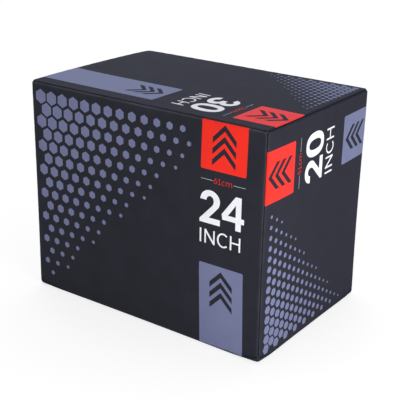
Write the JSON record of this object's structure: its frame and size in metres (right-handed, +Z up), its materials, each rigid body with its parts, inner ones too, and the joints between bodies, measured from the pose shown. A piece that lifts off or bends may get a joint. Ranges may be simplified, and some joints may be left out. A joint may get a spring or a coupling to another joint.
{
  "type": "soft plyo box",
  "caption": "Soft plyo box for jump training: plywood core in foam slabs and a sewn vinyl cover, turned on its sides for other heights, with a zipped flap at the rear.",
  "frame": {"origin": "on the floor, under the middle of the box", "axes": "+X along the 760 mm width, -Y towards the printed front face, +Z up"},
  "size_m": [0.76, 0.5155, 0.61],
  "materials": {
    "cover_vinyl": "black PVC-coated cloth with a fine grain, satin",
    "print_red": "red screen print on the cover, satin",
    "print_grey": "grey-violet screen print on the cover, satin",
    "print_white": "white screen print on the cover, satin",
    "thread": "black bonded sewing thread",
    "foam": "white closed-cell polyethylene foam",
    "plywood": "unfinished birch plywood",
    "batten_wood": "planed softwood",
    "screw_steel": "yellow-passivated steel",
    "zip_tape": "black woven polyester tape",
    "zip_teeth": "black moulded plastic teeth",
    "zip_metal": "gunmetal zinc casting"
  },
  "bodies": {
    "box": {"core_top_panel": "plywood", "core_bottom_panel": "plywood", "core_front_panel": "plywood", "core_rear_panel": "plywood", "core_left_panel": "plywood", "core_right_panel": "plywood", "core_centre_divider": "plywood", "batten_front_left": "batten_wood", "batten_rear_left": "batten_wood", "batten_front_right": "batten_wood", "batten_rear_right": "batten_wood", "core_side_screws": "screw_steel", "core_lid_screws": "screw_steel", "foam_top": "foam", "foam_bottom": "foam", "foam_front": "foam", "foam_rear": "foam", "foam_left": "foam", "foam_right": "foam", "cover_top": "cover_vinyl", "cover_bottom": "cover_vinyl", "cover_front": "cover_vinyl", "cover_left": "cover_vinyl", "cover_right": "cover_vinyl", "cover_rear_hinge_strip": "cover_vinyl", "cover_rear_top_strip": "cover_vinyl", "cover_rear_bottom_strip": "cover_vinyl", "cover_rear_free_strip": "cover_vinyl", "zip_tape_box": "zip_tape", "zip_tape_tails": "zip_tape", "zip_teeth_box": "zip_teeth", "zip_teeth_tails": "zip_teeth", "zip_end_stops": "zip_metal"},
    "rear_flap": {"cover_rear_flap": "cover_vinyl", "zip_tape_flap": "zip_tape", "zip_teeth_flap": "zip_teeth"},
    "zip_slider": {"zip_slider": "zip_metal"},
    "zip_pull": {"zip_pull": "zip_metal"}
  },
  "joints": [
    {"name": "flap_hinge", "type": "hinge", "parent": "box", "child": "rear_flap", "pos_m": [-0.29, 0.255, 0.305], "axis": [0, 0, 1], "range_deg": [0, 150]},
    {"name": "zip_slide", "type": "slide", "parent": "box", "child": "zip_slider", "axis": [1, 0, 0], "range_m": [0, 0.6]},
    {"name": "pull_swing", "type": "hinge", "parent": "zip_slider", "child": "zip_pull", "pos_m": [-0.332, 0.258, 0.565], "axis": [0, 0, -1], "range_deg": [0, 180]}
  ]
}
